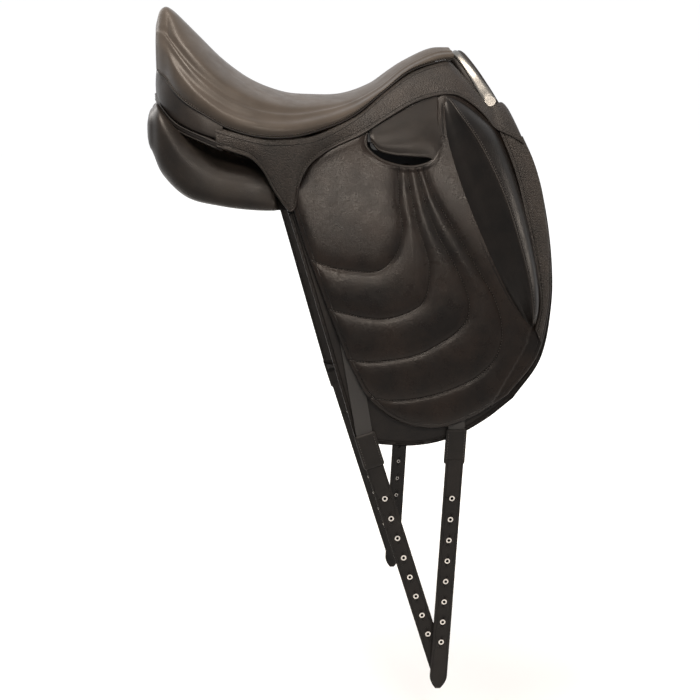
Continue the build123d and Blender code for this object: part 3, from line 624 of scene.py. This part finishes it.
def cut_sheet(loop, cell, holes=()):
    """A flat grid cut to an outline, in millimetres, with its edge drawn on to the outline."""
    low, high = loop.min(axis=0) - cell, loop.max(axis=0) + cell
    nx, ny = (int(n) for n in np.ceil((high - low) / cell))
    bm = bmesh.new()
    bmesh.ops.create_grid(bm, x_segments=nx, y_segments=ny, size=1)
    for i, v in enumerate(bm.verts):
        v.co = (low[0] + (i % (nx + 1)) * cell, 0, low[1] + (i // (nx + 1)) * cell)
    middles = np.array([f.calc_center_median()[:] for f in bm.faces])[:, [0, 2]]
    kept = inside(middles, loop)
    for hole in holes:
        kept &= ~inside(middles, hole)
    bmesh.ops.delete(bm, geom=[f for f, keep in zip(list(bm.faces), kept) if not keep], context="FACES")
    rim = [v for v in bm.verts if v.is_boundary]
    flat = np.array([(v.co.x, v.co.z) for v in rim])
    best, _, foot = nearest(flat, loop, closed=True)
    for hole in holes:
        d, _, at = nearest(flat, hole, closed=True)
        foot[d < best] = at[d < best]
        best = np.minimum(best, d)
    for v, at in zip(rim, foot):
        v.co.x, v.co.z = at
    return bm


def drape(bm, height, back, fields):
    """Lays a flat sheet on the drum at a height for each point, and turns its edge down to the back."""
    flat = np.array([(v.co.x, v.co.z) for v in bm.verts])
    layers = {name: bm.verts.layers.float.new(name) for name in fields}
    y = drum(flat[:, 1], height)
    for i, v in enumerate(bm.verts):
        v.co = Vector((flat[i, 0], y[i], flat[i, 1])) * 0.001
        for name, layer in layers.items():
            v[layer] = fields[name][i]
    bm.normal_update()
    if sum(f.normal.y for f in bm.faces) > 0:
        bmesh.ops.reverse_faces(bm, faces=bm.faces)
    rim = [e for e in bm.edges if e.is_boundary]
    for drop in (0.35, 1.0):
        grown = bmesh.ops.extrude_edge_only(bm, edges=rim)["geom"]
        for v in grown:
            if isinstance(v, bmesh.types.BMVert):
                v.co.y = drum(v.co.z * 1000, back * drop) * 0.001
        rim = [e for e in grown if isinstance(e, bmesh.types.BMEdge)]
    return bm


FLAP = [
    [(-56, -12), (-39, -73), (-10, -158), (12, -219)],
    [(12, -219), (39, -270), (79, -302), (128, -312), (175, -298), (218, -272)],
    [(218, -272), (256, -224), (273, -160), (276, -110), (271, -45), (253, 14), (216, 60)],
    [(216, 60), (199, 77), (181, 93), (163, 103), (144, 105), (110, 95), (75, 77), (40, 57), (0, 40),
     (-30, 21), (-43, 0), (-56, -12)],
]
SLOT = [
    [(48, 55), (94, 79), (140, 98)],
    [(140, 98), (137, 64), (134, 34)],
    [(134, 34), (130, 23), (118, 16), (100, 13), (79, 16), (60, 24), (46, 39), (48, 55)],
]
CHANNELS = [
    [(86, 28), (85, 12), (83, -13), (84, -40), (87, -58), (84, -75), (78, -91), (67, -105), (52, -113),
     (26, -112), (-3, -107), (-29, -98), (-60, -86)],
    [(95, 28), (96, 13), (97, -5), (101, -31), (107, -63), (114, -85), (119, -111), (116, -138),
     (108, -154), (91, -164), (63, -171), (35, -169), (15, -164), (-8, -158), (-40, -148)],
    [(106, 28), (108, 11), (112, -6), (118, -35), (131, -70), (145, -96), (156, -117), (165, -139),
     (169, -157), (165, -175), (151, -191), (128, -205), (102, -217), (64, -223), (39, -224), (15, -221),
     (-20, -216)],
    [(113, 28), (117, 9), (126, -17), (140, -44), (161, -79), (177, -107), (193, -134), (202, -151),
     (209, -176), (210, -200), (201, -225), (178, -247), (148, -261), (115, -270), (77, -274), (44, -270),
     (10, -262)],
]
BAND_JOIN = [(217, 66), (217, 56), (236, 0), (247, -60), (258, -120), (262, -160), (254, -186), (246, -200)]
outline = joined(FLAP)
mouth = joined(SLOT)
bm = cut_sheet(outline, 1.9, [mouth])
flat = np.array([(v.co.x, v.co.z) for v in bm.verts])
rim_mm = nearest(flat, outline, closed=True)[0]
lip_mm = nearest(flat, mouth, closed=True)[0]
channel_paths = [flow(c, 160) for c in CHANNELS]
field = np.full(len(flat), 1e9)
for i, path in enumerate(channel_paths):
    d, side, _ = nearest(flat, path)
    closer = d < np.abs(field)
    field[closer] = ((-1) ** i * side * d)[closer]
gap = np.abs(field)
swell = 1.5 * (1 - np.exp(-(gap / 2.4) ** 1.3)) + 2.2 * (1 - np.exp(-(gap / 11) ** 1.6))
swell *= 1 - np.exp(-(rim_mm / 7) ** 1.6)
swell *= 0.25 + 0.75 * (1 - np.exp(-(lip_mm / 5) ** 1.6))
swell += 2.2 * np.exp(-((lip_mm - 2.5) / 3.2) ** 2) * np.clip((36 - flat[:, 1]) / 12, 0, 1)
band_mm, ahead, _ = nearest(flat, flow(BAND_JOIN, 120))
swell *= np.where(ahead > 0, 0.0, 1 - np.exp(-(band_mm / 5) ** 1.5))
swell -= 1.2 * np.clip(1 - rim_mm / 2.2, 0, 1) ** 2
bm = drape(bm, swell, -4.0, {"channel": field, "rim": rim_mm})
flap_leather = leather("Flap_leather", (0.005, 0.0039, 0.0033), (0.012, 0.0082, 0.0062), 0.30, crease=0.34,
                       lines=[("channel", 0, 1.1), ("rim", 5.5, 0.6)])
pair("Flap", bm, flap_leather, ["flap"], shape=lambda p: p)
for i, path in enumerate(channel_paths):
    sewn = on_drum(path[inside(path, outline) & ~inside(path, mouth)], 0.35)
    pair("Channel_stitches_" + "abcd"[i], stitches(sewn, (0, -1, 0.2), thick=0.36), thread)


# ---- Lips over the stirrup bars -------------------------------------------------------------------
# A leather lip hangs from the skirt over the mouth of each slot and hides the stirrup bar.  Its lower
# edge is rolled, and it lifts on its seam when the stirrup leather goes on.
seam_line = flow([(50, 56), (94, 80), (126, 95), (147, 99)], 80)
hem_line = flow([(52, 45), (60, 35), (78, 29.5), (104, 27), (124, 25), (134, 20), (141, 24)], 80)
u = np.linspace(0, 1, 80)
rows = []
for s in np.arange(34) / 33:
    puff = 0.8 + 4.4 * np.exp(-((s - 0.78) / 0.27) ** 2) * (1 - 0.75 * np.abs(2 * u - 1) ** 3)
    puff -= 1.2 * np.exp(-(u / 0.03) ** 2)
    rows.append(on_drum(seam_line + (hem_line - seam_line) * s, puff))
hem = rows[-1]
for out, down in ((1.0, 0.8), (0.6, 2.0), (-0.8, 2.8), (-2.4, 2.4), (-3.4, 1.0), (-3.6, -2.0)):
    rows.append(hem + (0, -out, -down))
bm = face_out(skin(rows), (90, 0, 60))
pair("Bar_lip", bm, smooth_leather, ["bar_lip"], body="bar_lip", shape=lambda p: p)
LOW_LIP = [(136, 30), (131, 21), (118, 14.5), (100, 11.8), (79, 15), (59, 23), (44.5, 38), (46, 52)]
roll = tube(on_drum(flow(LOW_LIP, 120), 0.6), tapered(120, 2.3, 8), sides=14)
pair("Slot_roll", roll, smooth_leather)


# ---- Sweat flaps ----------------------------------------------------------------------------------
# The under flap is firm lining leather.  It shows as a dark band behind and below the padded flap,
# with one line of stitching just inside its edge.
SWEAT = [
    [(-62, -20), (-33, -122), (23, -326)],
    [(23, -326), (57, -332), (100, -335), (145, -327), (190, -304), (226, -277)],
    [(226, -277), (261, -228), (276, -160), (278, -110), (273, -45), (263, 8), (246, 42), (226, 54)],
    [(226, 54), (190, 76), (152, 82)],
    [(152, 82), (146, 6)],
    [(146, 6), (40, 4)],
    [(40, 4), (38, 34), (0, 28), (-62, -20)],
]
under = joined(SWEAT)
bm = cut_sheet(under, 2.6)
flat = np.array([(v.co.x, v.co.z) for v in bm.verts])
rim_mm = nearest(flat, under, closed=True)[0]
bm = drape(bm, -8.2 - 1.4 * np.clip(1 - rim_mm / 2.6, 0, 1) ** 2, -12.0, {"rim": rim_mm})
lining_leather = leather("Lining_leather", (0.0095, 0.0083, 0.0078), (0.015, 0.0125, 0.011), 0.46, grain=0.25,
                         grain_size=0.9, lines=[("rim", 4.2, 0.7)])
pair("Sweat_flap", bm, lining_leather, ["sweat_flap"])


# ---- Front bands ----------------------------------------------------------------------------------
# The skirt's grained leather goes on down the flap's front edge as a narrow band.  Its inner edge is
# folded over a cord, and a line of stitching runs down beside it.
INNER = [(217, 56), (230, 20), (238, -10), (247, -60), (257, -120), (260, -160), (253, -190)]
OUTER = [(246, 48), (258, 18), (267, -20), (270, -60), (272, -110), (269, -160), (260, -205)]
inner_line, outer_line = flow(INNER, 160), flow(OUTER, 160)
steps = 11
rows = []
for s in np.linspace(0, 1, steps + 1):
    lift = 2.6 + 1.2 * math.sin(math.pi * s) + 0.8 * math.exp(-(s / 0.12) ** 2)
    rows.append(on_drum(inner_line + (outer_line - inner_line) * s, lift))
rows.insert(0, rows[0] + (0.5, 2.2, 0))
rows.append(rows[-1] + (1.2, 2.0, 0))
rows.append(rows[-1] + (0.2, 4.0, 0))
bm = face_out(skin(rows), (200, 0, -60))
across = len(rows[0])
edge_mm = bm.verts.layers.float.new("above_edge")
seam_mm = bm.verts.layers.float.new("below_seam")
for i, v in enumerate(bm.verts):
    s = np.clip((i // across - 1) / steps, 0, 1)
    wide = np.linalg.norm(outer_line[i % across] - inner_line[i % across])
    v[edge_mm] = s * wide
    v[seam_mm] = 60
pair("Flap_band", bm, grained_leather, ["flap_band"])
fold = on_drum(inner_line, 2.6)
pair("Band_edge_cord", tube(fold, tapered(160, 1.3)), smooth_leather)
sewn = on_drum(inner_line + (outer_line - inner_line) * 0.34, 4.1)
pair("Band_stitches", stitches(sewn, (0, -1, 0.1)), thread)


# ---- Knee blocks ----------------------------------------------------------------------------------
# Each knee block is a foam wedge under calf leather.  Its rear face is hollow, its front face is full,
# and a piped seam runs down the crest between them.
# Each station: Z, the X of the rear foot, the crest and the front foot, and the crest's height.
BLOCK = [
    (99, 146, 150, 156, 1),
    (92, 146, 155, 170, 8),
    (76, 145, 164, 191, 20),
    (50, 145, 180, 215, 27),
    (18, 151, 196, 228, 30),
    (-25, 164, 213, 240, 31),
    (-70, 182, 226, 250, 31),
    (-115, 202, 237, 257, 30),
    (-150, 220, 243, 259, 26),
    (-170, 233, 246, 257, 19),
    (-181, 241, 248, 254, 9),
    (-186, 246, 249, 251, 2),
]
rows, crest = [], []
for z, rear, top, front, tall in flow(BLOCK, 150):
    back_run, nose_run = top - rear, front - top
    half = flow([
        (rear - 1.2, -0.4), (rear, 0.6), (rear + 0.20 * back_run, 1.0 + 0.22 * tall),
        (rear + 0.45 * back_run, 0.45 * tall), (rear + 0.72 * back_run, 0.72 * tall),
        (rear + 0.92 * back_run, 0.95 * tall), (top, tall),
        (top + 0.18 * nose_run, 0.965 * tall), (top + 0.46 * nose_run, 0.83 * tall),
        (top + 0.74 * nose_run, 0.55 * tall), (top + 0.94 * nose_run, 0.20 * tall),
        (front + 0.2, 0.5), (front + 0.6, -0.4),
    ], 72)
    base = drum(z)
    rows.append([(x, base - h, z) for x, h in half])
    crest.append((top, base - tall - 0.2, z))
bm = face_out(skin(rows), (200, -195, -50))
block_leather = leather("Block_leather", (0.0035, 0.003, 0.0027), (0.0065, 0.0052, 0.0045), 0.36, crease=0.1)
pair("Knee_block", bm, block_leather, ["knee_block"],
     shape=lambda p: p)
crest = np.asarray(crest)[3:-3]
pair("Knee_piping", tube(crest, tapered(len(crest), 1.15)), smooth_leather, ["knee_piping"])
pair("Knee_stitches", stitches(crest + (3.0, -0.1, 0), (0, -1, 0.1)), thread)
foot = flow([(z, r) for z, r, _, _, _ in BLOCK[1:-1]], 140)
welt = on_drum(foot[:, ::-1], 2.4) - (0.6, 0, 0)
pair("Knee_foot_cord", tube(welt, tapered(140, 1.3)), block_leather)


# ---- Panels ---------------------------------------------------------------------------------------
# Two wool-stuffed panels in soft leather bear on the horse's back.  They are full behind, with a
# gusset seam low on the rear bulge, and thin out towards the points in front.
# Each station: X, the middle's distance from the centre line and its height, then the panel's width,
# depth and lean in degrees.
PANEL = [
    (-222, 78, 58, 66, 46, 10),
    (-208, 82, 46, 100, 84, 8),
    (-180, 88, 22, 122, 80, 12),
    (-140, 91, 7, 130, 66, 14),
    (-90, 92, 0, 132, 62, 15),
    (-40, 86, 1, 120, 56, 22),
    (10, 82, 4, 104, 48, 28),
    (60, 84, 6, 92, 44, 40),
    (110, 90, 4, 92, 38, 56),
    (160, 104, -8, 104, 32, 66),
    (205, 118, -26, 100, 28, 70),
    (232, 124, -34, 78, 22, 70),
]
ENDS = ((5.5, 0.05), (5, 0.4), (3.6, 0.7), (1.8, 0.9))
CEILING = ((-222, -218, -210, -193, -160, -141, -100, -60), (95, 92, 81, 61, 45, 36, 20, 0))
around, gusset_at = 73, 66


def squared(wave, power):
    """A sine or cosine pushed towards a square wave."""
    return np.sign(wave) * np.abs(wave) ** power


stations = flow(PANEL, 120)
first = [(stations[0] - (out, 0, 0, 0, 0, 0), size) for out, size in ENDS]
last = [(stations[-1] + (out, 0, 0, 0, 0, 0), size) for out, size in ENDS[::-1]]
a = np.linspace(0, 2 * np.pi, around)
rows = []
for (x, w, z, width, depth, lean), size in first + [(s, 1.0) for s in stations] + last:
    p = squared(np.cos(a), 0.62) * width / 2 * size
    q = squared(np.sin(a), 0.62) * depth / 2 * size
    c, s = math.cos(math.radians(lean)), math.sin(math.radians(lean))
    y = -w - p * c + q * s
    up = z - p * s + q * c
    wall = drum(up, -13.5)
    ceiling = np.interp(x, *CEILING)
    if x < -60:
        soft = np.clip((up - ceiling) / 6, 0, None)
        up = np.where((up > ceiling) & (y < -30), ceiling + 1.5 * np.tanh(soft), up)
    y = np.where(y < wall, wall, y) if x > -70 else y
    y = np.where((x > 35) & (up > 10) & (y < -68), -68, y)
    rows.append(np.stack([np.full(around, x), y, up], axis=1))
bm = skin(rows)
gusset = bm.verts.layers.float.new("gusset")
for i, v in enumerate(bm.verts):
    v[gusset] = (i % around - gusset_at) * 4.5
bmesh.ops.remove_doubles(bm, verts=bm.verts, dist=1e-6)
bmesh.ops.holes_fill(bm, edges=[e for e in bm.edges if e.is_boundary], sides=0)
face_out(bm, (0, -90, 0))
panel_leather = leather("Panel_leather", (0.0085, 0.0072, 0.0064), (0.016, 0.0128, 0.0105), 0.40, crease=0.14,
                        lines=[("gusset", 0, 0.8)])
pair("Panel", bm, panel_leather, ["panel"], shape=lambda p: p)


# ---- Pommel ---------------------------------------------------------------------------------------
# The head of the saddle is closed by a leather-covered bow.  A chromed plate follows it, held by a
# round stud at each end.
ARCH = [(0, 0), (20, 4), (39, 17), (53, 31), (63, 46), (71, 60), (77, 77)]
slope = math.radians(60.6)
crown_x, crown_z = 178, 149
bow = flow([(-w, s) for w, s in ARCH[:0:-1]] + ARCH, 140)
along_bow = np.gradient(bow, axis=0)
along_bow /= np.linalg.norm(along_bow, axis=1)[:, None]
outward = np.stack([along_bow[:, 1], -along_bow[:, 0]], axis=1)


def on_bow(off, ahead):
    """Points along the bow, moved out from its line and forward from its plane."""
    w, s = (bow + outward * off).T
    x = crown_x + s * math.cos(slope) + ahead * math.sin(slope)
    z = crown_z - s * math.sin(slope) + ahead * math.cos(slope)
    return np.stack([x, -w, z], axis=1)


SECTION = [(-7, -8), (-3, -9), (-0.8, -8), (0, -6), (0.3, 2), (0, 9.4), (-0.9, 11.4), (-3, 12.4),
           (-6, 11.8), (-7.2, 9), (-7.2, 1), (-7, -8)]
rows = [on_bow(off, ahead) for off, ahead in flow(SECTION, 44)]
bm = face_out(skin(np.asarray(rows).transpose(1, 0, 2), ring=True), (150, 0, 90))
finished("Pommel_facing", bm, dark_leather, ["pommel_facing"])
chrome = bpy.data.materials.new("Chrome")
chrome.use_nodes = True
shader = chrome.node_tree.nodes["Principled BSDF"]
shader.inputs["Base Color"].default_value = (0.15, 0.147, 0.14, 1)
shader.inputs["Metallic"].default_value = 1.0
scuffs = texture(chrome, "ShaderNodeTexNoise", 300, Detail=5, Roughness=0.7)
rubbed = spread(chrome, scuffs.outputs["Fac"], 0.3, 0.7, 0.30, 0.40)
chrome.node_tree.links.new(rubbed, shader.inputs["Roughness"])
run = np.concatenate([[0], np.cumsum(np.linalg.norm(np.diff(bow, axis=0), axis=1))])
share = np.abs(run / run[-1] * 2 - 1)
wide = 4.6 + 3.4 * np.clip((share - 0.25) / 0.6, 0, 1) ** 1.4
wide *= np.sqrt(1 - np.clip((share - 0.93) / 0.07, 0, 0.99) ** 2)
PLATE = ((0.5, 1.0), (1.6, 0.98), (2.3, 0.86), (2.6, 0.4), (2.6, -0.4), (2.3, -0.86), (1.6, -0.98),
         (0.5, -1.0), (0.5, 0.0), (0.5, 1.0))
rows = [on_bow(off, 2.5 + across * wide) for off, across in PLATE]
bm = face_out(skin(np.asarray(rows).transpose(1, 0, 2), ring=True), (150, 0, 90))
finished("Pommel_plate", bm, chrome, ["pommel_plate"])


# ---- Girth straps ---------------------------------------------------------------------------------
# Two leather straps hang on each side from webbing that runs up under the flap.  Every strap has eight
# eyelets.
strap_leather = leather("Strap_leather", (0.0075, 0.0068, 0.0063), (0.013, 0.011, 0.0098), 0.52, crease=0.3,
                        lines=[("rim", 2.6, 0.5)])
# Each strap: the place of its hinge, and its lean in degrees.
STRAPS = {"front": ((150.467, -200.099, -364.334), -3), "rear": ((48.151, -195.499, -364.285), 17)}
wide, long, thick = 23.0, 315.0, 3.2
hole_radius, tip = 3.1, 18
holes = [44 + 29 * i for i in range(8)]


def strap_point(place, lean, across, down, out):
    """A point in a strap's own frame: across its width, down it and outward."""
    c, s = math.cos(math.radians(lean)), math.sin(math.radians(lean))
    x, y, z = place
    return Vector((x + across * c + down * s, y - out, z + across * s - down * c)) * 0.001


def ease_edges(piece, width, angle):
    """Rounds the edges that are sharper than an angle in degrees; width in metres."""
    edge = piece.modifiers.new("Edge", "BEVEL")
    edge.width = width
    edge.segments = 2
    edge.limit_method = "ANGLE"
    edge.angle_limit = math.radians(angle)


def strap_shape(piece):
    """A strap's thickness and its eased edges."""
    thicken(piece, thick * 0.001)
    ease_edges(piece, 0.0006, 50)


for name, (place, lean) in STRAPS.items():
    steps = []
    d = 8.0
    for hole in holes + [long - 12]:
        reach = hole - wide / 2 if hole in holes else hole
        count = max(2, int(round((reach - d) / 4)))
        steps += list(np.linspace(d, reach, count, endpoint=False))
        d = reach
        if hole in holes:
            steps += [hole - wide / 2, hole - wide / 4, hole, hole + wide / 4]
            d = hole + wide / 2
    steps += [long - 12, long - 7, long - 3, long]
    steps += list(np.linspace(-8, 8, 13))
    levels = sorted(set(round(s, 3) for s in steps))
    bm = bmesh.new()
    bmesh.ops.create_grid(bm, x_segments=4, y_segments=len(levels) - 1, size=1)
    rim = bm.verts.layers.float.new("rim")
    for i, v in enumerate(bm.verts):
        down = levels[i // 5]
        near_tip = max(0.0, (down - (long - tip)) / tip)
        half = wide / 2 * (1 - 0.72 * near_tip ** 2)
        across = (i % 5 - 2) / 2 * half
        v.co = (across, down, 0)
        v[rim] = half - abs(across)
    for hole in holes:
        block = [f for f in bm.faces if abs(f.calc_center_median().y - hole) < wide / 2 - 0.1]
        loop = [e for e in {e for f in block for e in f.edges} if sum(f in block for f in e.link_faces) == 1]
        loose = {v for f in block for v in f.verts} - {v for e in loop for v in e.verts}
        bmesh.ops.delete(bm, geom=block, context="FACES_ONLY")
        bmesh.ops.delete(bm, geom=list(loose), context="VERTS")
        circle = bmesh.ops.create_circle(bm, cap_ends=False, segments=16, radius=hole_radius,
                                         matrix=Matrix.Translation((0, hole, 0)))
        for v in circle["verts"]:
            v[rim] = 9
        ring = list({e for v in circle["verts"] for e in v.link_edges})
        bmesh.ops.bridge_loops(bm, edges=ring + loop)
    for v in bm.verts:
        v.co = strap_point(place, lean, v.co.x, v.co.y, thick / 2)
    face_out(bm, (100, 0, -400))
    pair("Strap_" + name, bm, strap_leather, ["strap_" + name], body="girth_strap_" + name,
         shape=strap_shape,
         bends=[strap_point(place, lean, 0, down, 0) for down in (-6, 6)])


# A doubled sleeve closes round each webbing end above its strap, stitched down both sides.
for name, (place, lean) in STRAPS.items():
    out_of = -2.3 if name == "front" else 2.3
    upper, lower = -48.4, -2.4
    rows = []
    for down in np.linspace(upper, lower, 24):
        near = min(down - upper, lower - down)
        half, deep = 13.6 - 0.9 * math.exp(-near / 0.8), 3.3 - 1.0 * math.exp(-near / 1.2)
        a = np.linspace(0, 2 * np.pi, 41)
        p = squared(np.cos(a), 0.35) * half
        q = squared(np.sin(a), 0.6) * deep
        q = np.where(q < 0, q * (0.35 if down < -30 else 1.0), q)
        rows.append([strap_point(place, lean, x, down, y + out_of) * 1000 for x, y in zip(p, q)])
    bm = face_out(skin(rows, ring=True), strap_point(place, lean, 0, -25, out_of) * 1000)
    bmesh.ops.holes_fill(bm, edges=[e for e in bm.edges if e.is_boundary], sides=0)
    pair("Sleeve_" + name, bm, strap_leather, ["sleeve_" + name])
    for across, row in ((-10.6, "_a"), (10.6, "_b")):
        sewn = [strap_point(place, lean, across, down, 3.25 + out_of) * 1000
                for down in np.linspace(-46, -5, 30)]
        pair("Sleeve_stitches_" + name + row, stitches(sewn, (0, -1, 0)), thread)


# ---- Hidden structure and metal parts -------------------------------------------------------------
# Under the leather are a laminated beech tree with moulded points, a forged head plate, and steel
# stirrup bars with turning catches.  These keep their engineered shapes.
def plain(name, first, second, scale, rough, metal=0.0, relief=0.2, kind="ShaderNodeTexNoise", **settings):
    """A two-tone worn finish with fine relief."""
    made = bpy.data.materials.new(name)
    made.use_nodes = True
    shader = made.node_tree.nodes["Principled BSDF"]
    pattern = texture(made, kind, scale, **settings)
    value = pattern.outputs[0]
    links = made.node_tree.links
    links.new(mixed(made, first, second, spread(made, value, 0.3, 0.7)), shader.inputs["Base Color"])
    links.new(spread(made, value, 0.3, 0.7, rough - 0.08, rough + 0.1), shader.inputs["Roughness"])
    links.new(bump(made, value, relief, 0.3), shader.inputs["Normal"])
    shader.inputs["Metallic"].default_value = metal
    return made


steel = plain("Forged_steel", (0.42, 0.41, 0.40), (0.30, 0.29, 0.28), 260, 0.32, 1.0, Detail=5)
nickel = plain("Nickel", (0.74, 0.72, 0.68), (0.55, 0.53, 0.50), 500, 0.28, 1.0, 0.1, Detail=4)
wood = plain("Laminated_beech", (0.11, 0.062, 0.030), (0.060, 0.034, 0.017), 60, 0.55, 0.0, 0.3,
             "ShaderNodeTexWave", Distortion=4.0, Detail=3)
plastic = plain("Moulded_point", (0.018, 0.018, 0.019), (0.028, 0.028, 0.028), 400, 0.5, Detail=3)
webbing = plain("Nylon_webbing", (0.016, 0.015, 0.015), (0.034, 0.032, 0.03), 420, 0.8, 0.0, 0.8,
                "ShaderNodeTexWave", Distortion=0.6, Detail=1)
finishes = {"tree_point": plastic, "tree": wood, "head_plate": steel, "stirrup_bar": steel,
            "bar_catch": steel, "bar_rivets": steel, "catch_pin": steel, "webbing": webbing,
            "eyelets": nickel, "pommel_studs": chrome, "panel_bridge": panel_leather}
eased = ("stirrup_bar", "bar_catch", "eyelets", "pommel_studs", "head_plate")
for name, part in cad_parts.items():
    for key, finish in finishes.items():
        if name == key or name.startswith(key + "_"):
            part.data.materials.clear()
            part.data.materials.append(finish)
            if key in eased:
                ease_edges(part, 0.0003, 35)
            break
